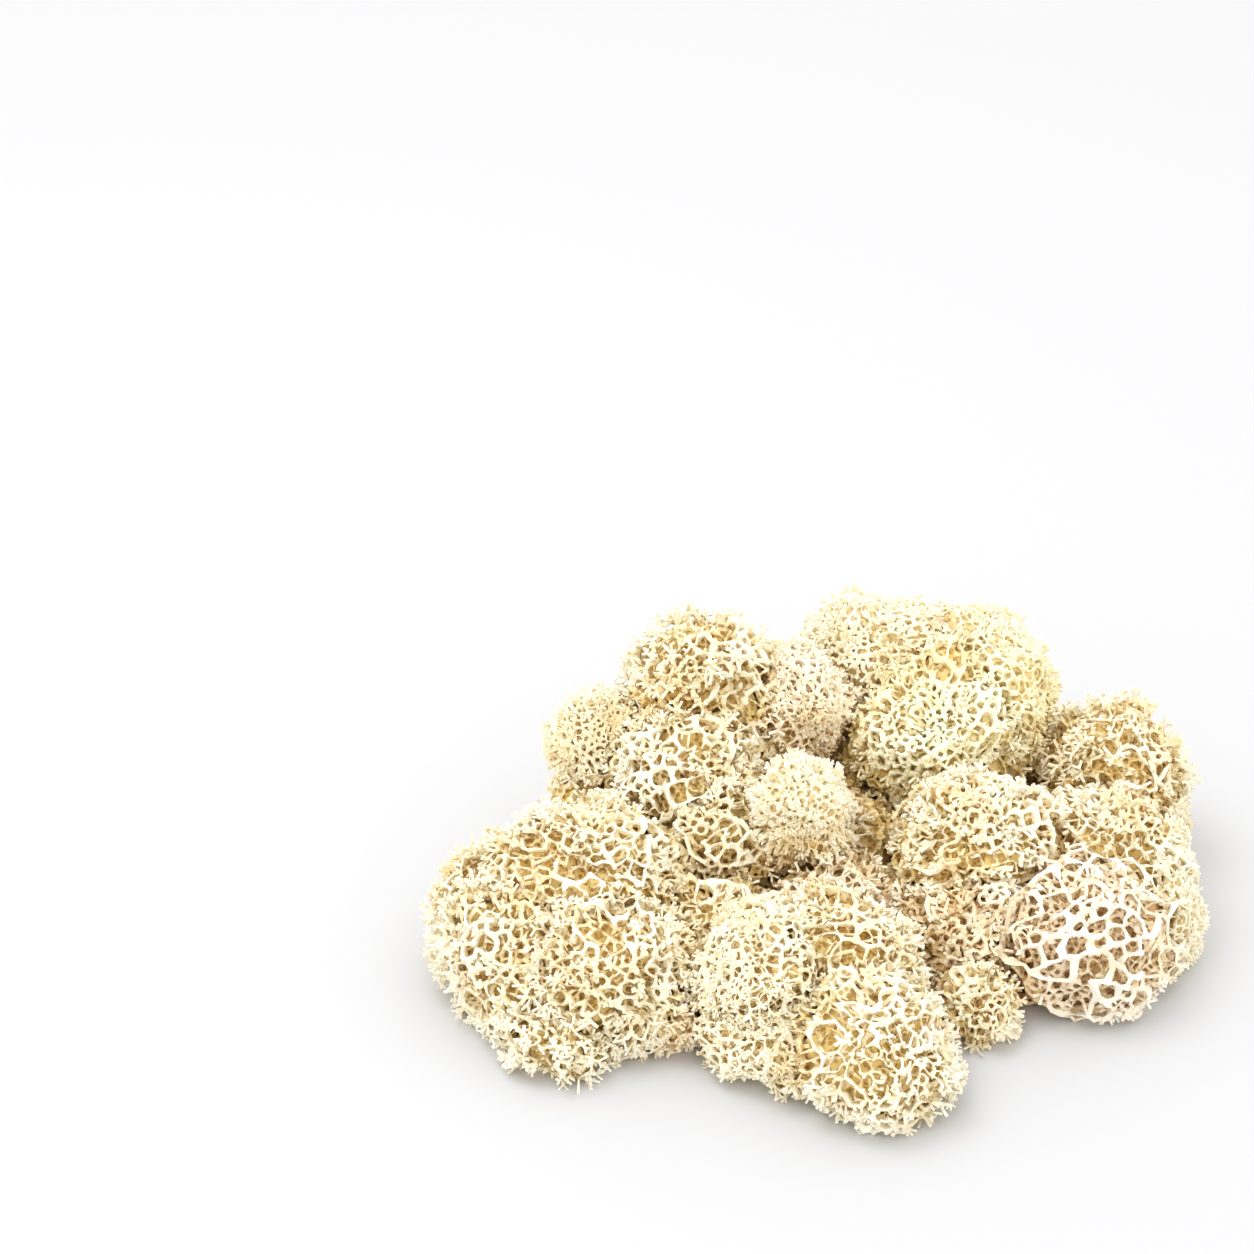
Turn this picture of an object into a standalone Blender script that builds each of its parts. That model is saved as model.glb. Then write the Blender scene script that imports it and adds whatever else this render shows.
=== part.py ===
"""Reindeer moss clump: a low heap of cream lichen cushions, tangled together.

The heap is a few big cushions, each grown together from several rounded heads, and
every head is one object. A head is a lobed core with forked branchlets standing out
of it as far as the cushion's outline. Where two heads meet, their outlines run into
each other in a fillet, wide inside one cushion and narrow between two, and the heads
are parted by a flat plane with a small gap. The low ones stand on flat feet at z = 0.
Units are metres, +Z is up, and the origin is on the ground under the middle of the heap.
"""

import math
import random
from dataclasses import dataclass

import bmesh
import bpy
from mathutils import Matrix, Vector

MM = 0.001

# Driving dimensions
NEIGHBOUR_GAP = 0.4 * MM      # air left between two heads that press on each other
MERGED_BLEND = 20.0 * MM      # reach of the fillet between two heads of one cushion
PARTED_BLEND = 8.0 * MM       # and between heads of two cushions
MOST_RISE = 0.35              # that fillets may add to a head's radius, as a share
BLEND_STEPS = 4               # rounds in which a fillet's height settles
LEAST_SHARE = 0.2             # of the way to a neighbour's middle that a head always keeps
CORE_SHARE = 0.82             # a core's radius as a share of its head's outline
FORK_BASE = 0.27              # from a branchlet's middle to a corner of its root, over the spacing
PRONG_LEAN = 0.41             # how far a prong's tip stands off its branchlet's middle, likewise
NOTCH_SHARE = 0.22            # height of the notch between prongs over the prongs' root
TIP_LOW = 0.96                # the lowest tip of a prong, as a share of the outline
STEM_SHARE = 0.42             # height of the fork on a stalked branchlet, as a share
STEM_WAIST = 0.55             # width of a stalked branchlet at its fork, as a share of its root
SHORTEST_PRONG = 1.6 * MM     # a branchlet that would be shorter is left off
BARE_SPACING = 17.0 * MM      # between core points where a head touches others or the ground
ROOT_CLEARANCE = 0.75         # least angle from a branchlet to a bare point, over their spacing
PRONG_CLEARANCE = 0.40        # most angle that a prong leans, over that to the next branchlet
FOOT_SHARE = 0.85             # radius of a flat foot as a share of the core's cut at the ground
FOOT_CORNERS = 7
SMALLEST_FOOT = 0.2           # a foot corner isn't drawn in further than this share
FOOT_CLEARANCE = 1.15         # bare points stay this far out, over the foot's own angle
DEEPEST_MIDDLE = 0.95         # a head whose core only grazes the ground has no foot
LOBE_SPACING = 17.0 * MM      # between the small swellings on a cushion
LOBE_REACH = 0.6              # from a swelling's middle to its crease, over their spacing
LOBE_DEPTH = 0.15             # depth of the creases between swellings, as a share of the radius
FEWEST_LOBES = 6
SEED = 45

TINTS = {
    "ivory": (0.86, 0.80, 0.62, 1.0),
    "cream": (0.80, 0.72, 0.50, 1.0),
    "straw": (0.80, 0.72, 0.42, 1.0),
    "blush": (0.72, 0.58, 0.44, 1.0),
}
LICHEN_ROUGHNESS = 0.9


@dataclass
class Head:
    """One head of a cushion, with its sizes in millimetres."""

    name: str
    cushion: str
    middle: tuple
    half: tuple
    tint: str = "cream"
    stalked: bool = False
    spacing: float = 10.2    # between the middles of two forked branchlets


HEADS = [
    # The crest of the heap
    Head("top_left", "crest_left", (-58, 24, 70), (29, 27, 25), "ivory", True, 12.0),
    Head("back_centre", "crest_right", (0, 53, 60), (26, 26, 26)),
    Head("back_right", "crest_right", (37, 60, 55), (22, 22, 22)),
    Head("pink_recess", "crest_left", (-26, 26, 56), (20, 22, 23), "blush", True, 12.0),
    Head("left_small", "left_small", (-96, 10, 53), (18, 19, 20)),
    # The upper slopes
    Head("middle_left", "crest_left", (-65, -2, 42), (31, 28, 29), "ivory"),
    Head("centre_ball", "centre_ball", (-26, -27, 48), (19, 19, 23)),
    Head("centre_left_low", "crest_left", (-53, -25, 32), (21, 20, 25)),
    Head("yellow_main", "crest_right", (21, 22, 45), (31, 30, 28), "straw"),
    Head("yellow_right", "crest_right", (45, 38, 49), (22, 24, 24), "straw"),
    Head("net_upper", "right", (32, -26, 35), (31, 27, 26), "ivory"),
    # The right side
    Head("right_open", "right", (85, 22, 26), (28, 32, 36), "cream", True, 12.0),
    Head("right_upper", "right", (78, -20, 23), (28, 27, 27), "ivory"),
    Head("right_coarse", "right", (67, -58, 16), (31, 31, 29), "blush", True, 12.0),
    Head("right_fuzzy", "right", (93, -38, 12), (16, 19, 21)),
    # The left side
    Head("left_top", "left", (-97, -39, 29), (35, 31, 29), "ivory"),
    Head("left_end", "left", (-130, -41, 21), (19, 20, 22)),
    Head("left_low", "left", (-123, -67, 14), (23, 25, 24)),
    Head("left_front", "left", (-87, -81, 17), (26, 25, 25), "ivory"),
    Head("left_tip", "left", (-108, -102, 6), (15, 17, 12), "ivory", True),
    # The front
    Head("front_left", "front", (-43, -79, 17), (25, 27, 28)),
    Head("front_low", "front", (-38, -100, 8), (20, 21, 15)),
    Head("front_middle", "front", (-14, -74, 22), (27, 26, 23), "ivory"),
    Head("front_right", "front", (-3, -116, 14), (27, 29, 24), "ivory"),
    Head("net_lower", "right", (27, -53, 15), (26, 24, 24), "blush"),
    Head("low_tuft", "low_tuft", (30, -82, 8), (15, 17, 15), "straw"),
    Head("low_gap", "low_gap", (-67, -86, 7), (12, 16, 13), "blush"),
    # Underneath and behind
    Head("under_centre", "under_centre", (-15, -42, 21), (24, 22, 20), "blush"),
    Head("low_middle", "low_middle", (-58, -54, 14), (25, 26, 24)),
    Head("base_left", "base", (-64, 14, 16), (31, 27, 28), spacing=12.5),
    Head("base_far_left", "base", (-98, -3, 17), (23, 23, 30), spacing=12.5),
    Head("base_middle", "base", (-21, -2, 15), (31, 31, 29), spacing=12.5),
    Head("base_back", "base", (-4, 50, 17), (33, 29, 33), spacing=12.5),
    Head("base_back_right", "base", (46, 50, 15), (28, 27, 28), spacing=12.5),
    Head("base_centre", "base", (33, 7, 13), (34, 28, 25), spacing=12.5),
]
HEAP_SHIFT = (17.5, 31.5, 0.0)    # brings the middle of the heap's outline over the origin


def middle_of(head):
    """The head's middle in metres."""
    return (Vector(head.middle) + Vector(HEAP_SHIFT)) * MM


def outline_radius(head, way):
    """How far the head's smooth outline lies from its middle along a unit vector."""
    stretch = Vector([way[i] / (head.half[i] * MM) for i in range(3)])
    return 1.0 / stretch.length


def neighbours_of(head):
    """The heads whose outlines may touch this one's."""
    near = []
    for other in HEADS:
        apart = middle_of(other) - middle_of(head)
        if other is not head and apart.length < (max(head.half) + max(other.half)) * MM + NEIGHBOUR_GAP:
            near.append(other)
    return near


def height_over(head, point):
    """About how far a point lies outside a head's smooth outline; below 0 inside."""
    off = point - middle_of(head)
    return off.length - outline_radius(head, off.normalized())


def contact_planes(head):
    """The planes that part a head from its neighbours, as outward normals and distances.

    Each plane runs through the ring where the two outlines cross.
    """
    planes = []
    for other in neighbours_of(head):
        apart = middle_of(other) - middle_of(head)
        normal = apart.normalized()
        own = outline_radius(head, normal)
        others = outline_radius(other, -normal)
        share = 0.5 + (own ** 2 - others ** 2) / (2 * apart.length_squared)
        share = min(1 - LEAST_SHARE, max(LEAST_SHARE, share))
        planes.append((normal, share * apart.length - NEIGHBOUR_GAP / 2))
    return planes


def even_ways(count, rng):
    """Unit vectors spread evenly over a sphere on a spiral, turned at random."""
    turn = Matrix.Rotation(rng.uniform(0, math.tau), 3, "X")
    turn = turn @ Matrix.Rotation(rng.uniform(0, math.tau), 3, "Y")
    golden_angle = math.pi * (3 - math.sqrt(5))
    ways = []
    for k in range(count):
        height = 1 - 2 * (k + 0.5) / count
        ring = math.sqrt(1 - height * height)
        angle = golden_angle * k
        ways.append(turn @ Vector((ring * math.cos(angle), ring * math.sin(angle), height)))
    return ways


def count_over(head, spacing):
    """How many points lie on the whole outline at this spacing."""
    size = sum(head.half) / 3 * MM
    return round(4 * math.pi * size * size / (0.866 * spacing * spacing))


class Shape:
    """A head's form: where its outline, its core and its limits lie along any direction."""

    def __init__(self, head, rng):
        self.head = head
        self.middle = middle_of(head)
        self.planes = contact_planes(head)
        self.neighbours = [(other, MERGED_BLEND if other.cushion == head.cushion else PARTED_BLEND)
                           for other in neighbours_of(head)]
        self.lobes = even_ways(max(FEWEST_LOBES, count_over(head, LOBE_SPACING)), rng)
        self.lobe_angle = math.sqrt(4 * math.pi / len(self.lobes)) * LOBE_REACH

    def ground(self, way):
        """The distance to the ground."""
        return self.middle.z / -way.z if way.z < 0 else math.inf

    def limit(self, way):
        """The distance to the nearest contact plane, or to the ground."""
        nearest = self.ground(way)
        for normal, distance in self.planes:
            towards = way.dot(normal)
            if towards > 0:
                nearest = min(nearest, distance / towards)
        return nearest

    def merged(self, way):
        """The smooth outline with the fillets that join it to its neighbours' outlines."""
        plain = outline_radius(self.head, way)
        rise = 0.0
        for _ in range(BLEND_STEPS):
            point = self.middle + way * (plain + rise)
            fillets = 0.0
            for other, blend in self.neighbours:
                overlap = max(0.0, 1 - abs(rise - height_over(other, point)) / blend)
                fillets += blend / 4 * overlap ** 2
            rise = (rise + min(fillets, MOST_RISE * plain)) / 2
        return plain + rise

    def swollen(self, way):
        """The merged outline with the creases between the cushion's small swellings."""
        closest = max(way.dot(lobe) for lobe in self.lobes)
        off_lobe = min(1.0, math.acos(min(1.0, closest)) / self.lobe_angle)
        return self.merged(way) * (1 - LOBE_DEPTH * off_lobe ** 2)

    def tip(self, way):
        return min(self.swollen(way), self.limit(way))

    def core(self, way):
        return min(CORE_SHARE * self.swollen(way), self.limit(way))

    def has_room(self, way):
        """True where a branchlet along this direction would be long enough to show."""
        return self.tip(way) - self.core(way) > SHORTEST_PRONG

    def is_free(self, way):
        """True where nothing cuts the outline off in this direction."""
        return self.limit(way) > self.swollen(way)

    def foot_ways(self):
        """Directions to the middle and the corners of the flat foot, where there is one."""
        half_x, half_y, half_z = [CORE_SHARE * half * MM for half in self.head.half]
        depth = self.middle.z / half_z
        if depth > DEEPEST_MIDDLE:
            return []
        ways = [Vector((0, 0, -1))]
        for k in range(FOOT_CORNERS):
            angle = math.tau * k / FOOT_CORNERS
            share = FOOT_SHARE * math.sqrt(1 - depth * depth)
            while True:
                corner = Vector((share * half_x * math.cos(angle), share * half_y * math.sin(angle),
                                 -self.middle.z)).normalized()
                if CORE_SHARE * self.swollen(corner) > self.ground(corner) or share < SMALLEST_FOOT:
                    break
                share *= FOOT_SHARE
            ways.append(corner)
        return ways


def beside(way, angle, turn):
    """A unit vector at an angle off another, at a turn round it."""
    side = way.orthogonal().normalized()
    across = way.cross(side)
    off = side * math.cos(turn) + across * math.sin(turn)
    return (way * math.cos(angle) + off * math.sin(angle)).normalized()


def nearest_angle(way, ways):
    """The angle from a direction to the closest other one."""
    closest = max(way.dot(other) for other in ways if other is not way)
    return math.acos(min(1.0, closest))


def add_prongs(mesh, ring, fork_point, tips):
    """Three tapering prongs on a triangle, parted by a notch at the fork point."""
    for k in range(3):
        first = ring[k]
        second = ring[(k + 1) % 3]
        mesh.faces.new((first, second, tips[k]))
        mesh.faces.new((second, fork_point, tips[k]))
        mesh.faces.new((fork_point, first, tips[k]))


def add_stem(mesh, root, waist):
    """Six sides from a branchlet's root up to its narrower waist."""
    for k in range(3):
        after = (k + 1) % 3
        mesh.faces.new((root[k], root[after], waist[after]))
        mesh.faces.new((root[k], waist[after], waist[k]))


def add_branchlet(mesh, shape, way, corner_ways, root, reach, rng):
    """A forked branchlet: three prongs on its root triangle, or on a stem above it."""
    rise = shape.tip(way) - shape.core(way)
    base_height = shape.core(way)
    ring = root
    if shape.head.stalked:
        waist = []
        for corner in corner_ways:
            narrow = way.lerp(corner, STEM_WAIST).normalized()
            waist.append(mesh.verts.new(narrow * (base_height + STEM_SHARE * rise)))
        add_stem(mesh, root, waist)
        base_height += STEM_SHARE * rise
        rise *= 1 - STEM_SHARE
        ring = waist
    fork_point = mesh.verts.new(way * (base_height + NOTCH_SHARE * rise))
    tips = []
    for k in range(3):
        outward = (corner_ways[k] + corner_ways[(k + 1) % 3]).normalized()
        off = (outward - way * outward.dot(way)).normalized()
        angle = reach * rng.uniform(0.75, 1.0)
        tip_way = (way * math.cos(angle) + off * math.sin(angle)).normalized()
        tips.append(mesh.verts.new(tip_way * (shape.tip(tip_way) * rng.uniform(TIP_LOW, 1.0))))
    add_prongs(mesh, ring, fork_point, tips)


def room_for_branchlet(shape, way, reach):
    """True where a branchlet and all its prongs stay free of neighbours and the ground."""
    around = [beside(way, reach, k * math.tau / 6) for k in range(6)]
    return shape.is_free(way) and all(shape.has_room(side) for side in around)


def build_mesh(head):
    """The head's closed mesh: a faceted core with every branchlet grown from it."""
    rng = random.Random(f"{SEED} {head.name}")
    shape = Shape(head, rng)
    size = sum(head.half) / 3 * MM
    spacing = head.spacing * MM
    reach = PRONG_LEAN * spacing / size
    cells = even_ways(count_over(head, spacing), rng)
    bare = even_ways(count_over(head, BARE_SPACING), rng)

    mesh = bmesh.new()
    branchlets = []
    used = []
    for way in cells:
        if room_for_branchlet(shape, way, reach):
            used.append(way)
            turn = rng.uniform(0, math.tau)
            angle = FORK_BASE * spacing / (CORE_SHARE * size)
            corner_ways = [beside(way, angle, turn + k * math.tau / 3) for k in range(3)]
            branchlets.append((way, corner_ways))
    clear_of_cells = ROOT_CLEARANCE * spacing / size
    foot = shape.foot_ways()
    foot_angle = max((way.angle(foot[0]) for way in foot[1:]), default=-1.0)
    for way in foot:
        mesh.verts.new(way)
    for way in bare:
        off_foot = not foot or way.angle(foot[0]) > foot_angle * FOOT_CLEARANCE
        if off_foot and (not used or nearest_angle(way, used) > clear_of_cells):
            mesh.verts.new(way)
    roots = []
    for way, corner_ways in branchlets:
        roots.append([mesh.verts.new(corner) for corner in corner_ways])

    bmesh.ops.convex_hull(mesh, input=list(mesh.verts), use_existing_faces=False)
    for vert in mesh.verts:
        way = vert.co.normalized()
        vert.co = way * shape.core(way)
    mesh.faces.ensure_lookup_table()

    for (way, corner_ways), root in zip(branchlets, roots):
        shared = set(root[0].link_faces) & set(root[1].link_faces) & set(root[2].link_faces)
        face = shared.pop()
        loop_order = [vert for vert in face.verts]
        order = [root.index(vert) for vert in loop_order]
        mesh.faces.remove(face)
        spread = min(reach, PRONG_CLEARANCE * nearest_angle(way, used)) if len(used) > 1 else reach
        add_branchlet(mesh, shape, way, [corner_ways[k] for k in order],
                      loop_order, spread, rng)
    return mesh


def lichen_material(head):
    """A matt lichen in the head's own tint."""
    material = bpy.data.materials.new(f"lichen_{head.name}")
    material.use_nodes = True
    shader = material.node_tree.nodes["Principled BSDF"]
    shader.inputs["Base Color"].default_value = TINTS[head.tint]
    shader.inputs["Roughness"].default_value = LICHEN_ROUGHNESS
    shader.inputs["Metallic"].default_value = 0.0
    material.diffuse_color = TINTS[head.tint]
    return material


def add_head(head):
    """The finished head as one object, placed by its middle."""
    mesh = build_mesh(head)
    data = bpy.data.meshes.new(f"head_{head.name}")
    mesh.to_mesh(data)
    mesh.free()
    data.materials.append(lichen_material(head))
    obj = bpy.data.objects.new(f"head_{head.name}", data)
    obj.location = middle_of(head)
    bpy.context.scene.collection.objects.link(obj)
    return obj


def main():
    for obj in list(bpy.data.objects):
        bpy.data.objects.remove(obj, do_unlink=True)
    for head in HEADS:
        add_head(head)


main()
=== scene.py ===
"""Reindeer moss clump: its lace of branches and forked tips, its colours and a plain studio.

Each head of the clump is one piece, which replaces the plain head of the same name and
nearly keeps that head's outline. From the outside in, a head has forked tips, a net of
rounded branches round open holes, on most heads a finer net with stems up to the first
one, and a lumpy core that shows as a darker ground through the holes. The colours darken
with depth, partly as the lichen's own darker inner colour and partly as painted shade,
more so on the core and where other heads, fillet creases or the head's own lace shut a
place in. Lengths are in millimetres and turn into metres when a mesh is made. Directions
are unit vectors from a head's middle.
"""

import heapq
import math
import random
from dataclasses import dataclass, replace

import bmesh
import bpy
import numpy as np
from mathutils import Matrix, Vector
from mathutils.bvhtree import BVHTree


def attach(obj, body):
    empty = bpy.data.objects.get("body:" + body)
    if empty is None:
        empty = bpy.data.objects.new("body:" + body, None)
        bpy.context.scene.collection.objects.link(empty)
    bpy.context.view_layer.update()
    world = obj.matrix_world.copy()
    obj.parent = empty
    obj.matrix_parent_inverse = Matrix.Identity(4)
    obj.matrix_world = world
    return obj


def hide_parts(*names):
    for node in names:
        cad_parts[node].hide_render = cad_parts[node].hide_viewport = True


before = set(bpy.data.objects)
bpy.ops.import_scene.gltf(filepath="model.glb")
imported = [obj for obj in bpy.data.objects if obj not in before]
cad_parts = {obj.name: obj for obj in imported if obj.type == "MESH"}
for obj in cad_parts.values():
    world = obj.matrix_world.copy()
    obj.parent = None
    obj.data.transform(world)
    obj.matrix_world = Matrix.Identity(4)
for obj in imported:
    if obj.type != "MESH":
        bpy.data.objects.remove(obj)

MM = 0.001

# The heads' outlines, as on the plain heads that they replace apart from the fillets
NEIGHBOUR_GAP = 0.4           # air between two heads that press on each other
# Reach of the fillet between two heads of one cushion, and between heads of two cushions
MERGED_BLENDS = {"left": 24.0, "front": 26.0, "crest_right": 24.0, "crest_left": 17.0, "right": 17.0,
                 "base": 20.0}
PARTED_BLEND = 7.0
MOST_RISE = 0.42              # that fillets may add to a head's radius, as a share
BLEND_STEPS = 4               # rounds in which a fillet's height settles
LEAST_SHARE = 0.2             # of the way to a neighbour's middle that a head always keeps
LOBE_SPACING = 17.0           # between the small swellings on a head
LOBE_REACH = 0.6              # from a swelling's middle to its crease, over their spacing
LOBE_DEPTH = 0.15             # depth of the creases, as a share of the radius
FEWEST_LOBES = 6
SEED = 45
TINY = 1e-6                   # keeps a division finite

# What a place on an outline can see past the other heads
SIGHT_RAYS = 40
FLOOR_SIGHT = 0.3             # weight of what is seen downwards, against upwards
SOLID_SHARE = 0.85            # a head blocks the view over this share of its outline
# Painted shade: places shut in by other heads, or in a fillet's crease, are coloured as if they lay
# deeper
SHADE_SAMPLES = 500
SHADE_START = 0.85            # tips keep their colour where at least this much is open; painted shade sets in below it
SHADE_DEPTH = 10.0            # the most that painted shade adds to a place's depth
CREASE_SHADE = 0.2            # and that painted shade in a fillet's crease adds to it, over the fillet's height
OWN_SHADE_RAYS = 4                # outwards from each point of a mesh, to find what stands over it, for painted shade
OWN_SHADE_SLANT = 0.9             # their lean off the straight way out, as a slope
OWN_SHADE_REACH = 7.0
OWN_SHADE_START = 0.35            # from a point to where its rays begin

# The nets
PACKING = 0.866               # area of a hexagonal cell over its spacing squared
HOLE_JITTER = 0.3             # how far a hole strays from its place, over the spacing
DRIFT_SIZE = 2.2              # spacings over which holes stray the same way
CROWDING = 0.75               # how uneven the share of missing holes is over the head
CROWDING_SIZE = 1.5           # spacings over which it stays alike
ASKEW = (0.3, 0.5, 0.8)       # a direction that no hole's middle lies along
HOLE_ROUNDNESS = 0.62         # 0 follows the cell's corners, 1 is a round hole
SIDE_WIDTH = 1.12             # from a branch's middle to its side, over half its thickness
LEAST_HOLE = 0.22             # a hole's corner keeps at least this share of the way to its node
MOST_HOLE = 0.93
SWAY = 0.8                    # how far nodes rise and sink together, over how far each strays
SWAY_SIZE = 1.6               # spacings over which they do
SWELL = 0.3                   # how much nodes are thick or thin together
LONE_SWELL = 0.15             # and each by itself
SWELL_RANGE = (0.7, 1.5)      # least and most thickness from both
SLIM = 0.72                   # thickness at a branch's middle over that at its ends
BRANCH_BEND = 0.09            # how far a branch's middle strays, over the spacing
SIDE_CROWN = 1.04             # a hole's rim at a branch's middle over the mean of its corners
LEAST_SIDE = 0.3              # it lies at least this share of the way to the branch
THINNEST = 0.72               # a last branch's thickness over the net's own
STREAM_GAIN = 0.17            # thickness gained where 2.7 times as many branches come together
THICKEST = 1.6
STREAM_START = 5              # branches that carry this many others run smooth
STREAM_ROUNDS = 3
STREAM_CHOICE = (0.5, 1.5)    # a branch counts as this many times its length, for the route
PARTED_GAP = 0.6              # a hole's middle stays this far inside the plane between cushions
MERGED_LAP = 2.2              # and may lie about this far past a seam inside one cushion
PRESSED = 6.0                 # a net isn't made where the ground cuts the outline off deeper
SHUT_IN = 0.07                # nor where less of the surroundings than this is open
DIM = 0.34                    # where less is open, tips stay simple
CORE_GRAIN = 2.8              # between the points of the core's lumps
CORE_LUMPS = 2.0              # depth of the lowest of them
CORE_SHADE = 2.5               # painted shade: the core is coloured as if it lay deeper by this
LEAST_CORE = 0.4              # the core's radius over the outline's, at least
DEEPEST_CORE = 0.5            # the core's depth over the head's mean half size, at most
FINE_BRANCH = 0.8             # thickness of the finer net's branches over the outer one's
FINE_MISSING = 0.15           # share of its holes that are run together with others
FINE_DRIFT = 0.4              # share of the drift that they keep
FINE_FIN = 1.6                # its branches' reach inwards, over half their thickness
FINE_SHUT_IN = 0.17           # it isn't made where less of the surroundings than this is open
STEM_SHARE = 0.2              # share of the finer net's nodes with a stem to the outer net
STEM_FLARE = 1.1              # a stem's root over its node's thickness
STEM_WAIST = 0.8              # and its middle
STEM_BEND = 0.35              # how far its middle strays

# The outline's dents and the tips
GIVE = 0.15                   # share of what passes a head's limits that is kept
CLEARANCE = 0.1               # between the ground and a tip that is bent up by it
SHARP = 40.0                  # degrees; branches are smooth along and crisp around
DENT_DEPTH = 3.5
DENT_SIZE = 8.0
DENT_WAVES = 12
TIP_THICKNESS = (0.85, 1.15)  # of a tip over its weave's
ROOT_FLARE = 1.15             # a tip's root over its stem
WAIST = (0.2, 0.42)           # height of a tip's fork over the tip's
PRONG_WIDTH = 0.9             # a prong's root over its tip's stem
PRONG_LENGTH = (0.5, 0.95)    # of a tip's prongs over the tip's height
PRONG_REACH = (0.7, 1.15)     # of one prong over its tip's prongs
PRONG_SLOPE = (0.45, 1.35)    # its lean over its weave's
WIDER_FORK = 1.15             # the lean of the second fork's prongs over the first's
NOTCH = 0.5                   # height of the notch between prongs over their width
NECK = 0.5                    # a forked prong divides this far up
TAPER = 0.9                   # a branch's end over its start
SHORTEST_TIP = 0.9
TIP_WANDER = 0.22             # how far a tip leans at random
FAN = 0.6                     # how far it leans out from its lobe's root
FAN_ROOT = 0.5                # depth of that root over the tip's own distance from the middle
ROUGHNESS = 2.0               # how far tips fall short of the outline, over the noise's shortfall
FULL_REACH = 0.5              # under this value
ROUGH_SIZE = 3.0
ROUGH_WAVES = 20
FLATTER_TOP = 0.2             # share by which tips stand out less at a head's very top
SPUR_LENGTH = (1.3, 2.6)
SPUR_WIDTH = 0.8              # of a spur over its weave's tips
SPUR_THICKNESS = (0.85, 1.1)  # times that, at random
SPUR_LEAN = 0.55
BARE_FACE = (0.1, -0.62, 0.78)    # the way that the worn side of a head looks
BARE_EDGE = (0.25, 0.75)      # between these cosines off it, the tips thin out

# The camera and the studio, in metres, watts and degrees
CAMERA_PLACE = (-0.0670, -0.9865, 0.7047)
CAMERA_DIP = 30.57
CAMERA_LENS = 102.4
SENSOR = 36.0
FLOOR_SIZE = 8.0
FLOOR_COLOUR = (0.595, 0.605, 0.625, 1.0)
FLOOR_ROUGHNESS = 0.7
SKY_STRENGTH = 1.45
WALL_COLOUR = (1.0, 0.95, 0.84, 1.0)
CEILING_COLOUR = (1.0, 1.0, 1.03, 1.0)
KEY_PLACE = (-0.45, 0.10, 1.20)
KEY_SIZE = 0.7
KEY_POWER = 4.0
LIGHT_BOUNCES = 10            # among the pale branches
LIGHTS_AIM = (0.0, 0.0, 0.03)


@dataclass
class Weave:
    """How a head's lace is woven."""

    hole: float = 4.9        # between the middles of the holes in the outer net
    branch: float = 0.78     # half the thickness of its branches
    depth: float = 2.6       # of the outer net under the head's outline
    uneven: float = 1.6      # how far its nodes stray in and out
    drift: float = 1.0       # how far holes stray with their neighbours, which draws some out long
    missing: float = 0.40    # share of the holes that are run together with others
    dropped: float = 0.16    # share of the branches that are broken off
    tips: float = 0.7        # share of the nodes that carry a forked tip
    twice: float = 0.15      # share of the prongs that fork again
    spread: float = 0.95     # how far prongs lean out, as a slope
    thick: float = 0.74      # a tip's stem, from its middle to a corner
    spurs: float = 0.2       # share of the branches that carry a short spur
    lace: float = 0.95       # holes of the finer net over those of the outer one; 0 for none
    gap: float = 2.6         # from the outer net down to the finer one
    fin: float = 3.0         # how far the outer net's branches reach inwards, over half their thickness
    ground: float = 2.6      # from the lowest net down to the core
    proud: float = 2.0       # how far the tips may stand past the outline
    lobes: float = 0.6       # depth of the creases between small swellings, over the plain head's
    own_shade: float = 3.2       # painted shade: added to the depth of a point that is shut in by the head's own lace
    bare: float = 0.8        # share of the tips that is worn off the head's bare face


NET = Weave()
EDGE = replace(NET, tips=0.65, twice=0.7, thick=0.68, proud=3.6, spread=1.2)
FUZZ = Weave(hole=3.6, branch=0.62, depth=2.2, uneven=0.7, drift=0.3, missing=0.08, dropped=0.06,
             tips=0.7, twice=0.1, spread=0.85, thick=0.62, spurs=0.3, lace=0, fin=2.4, ground=1.5,
             bare=0.2, lobes=0.9, proud=1.6, own_shade=1.5)
LINED = replace(FUZZ, lace=1.0, gap=1.3, ground=1.2)
OPEN = Weave(hole=6.2, branch=0.86, depth=4.0, uneven=1.7, missing=0.36, dropped=0.15,
             tips=0.65, twice=0.7, spread=1.25, thick=0.76, spurs=0.6, bare=0.85, fin=2.0, proud=3.4)
COARSE = Weave(hole=9.2, branch=0.96, depth=1.5, uneven=0.9, missing=0.44, dropped=0.06,
               tips=0.5, twice=0.1, spurs=0.3, lace=0.42, gap=3.4, fin=1.2, bare=0.9)
PLAIN = Weave(hole=5.4, drift=0.6, missing=0.2, tips=0.45, lace=0, ground=2.0)


@dataclass
class Head:
    """One head of a cushion, with its sizes in millimetres."""

    name: str
    cushion: str
    middle: tuple
    half: tuple
    tint: str
    weave: Weave


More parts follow.
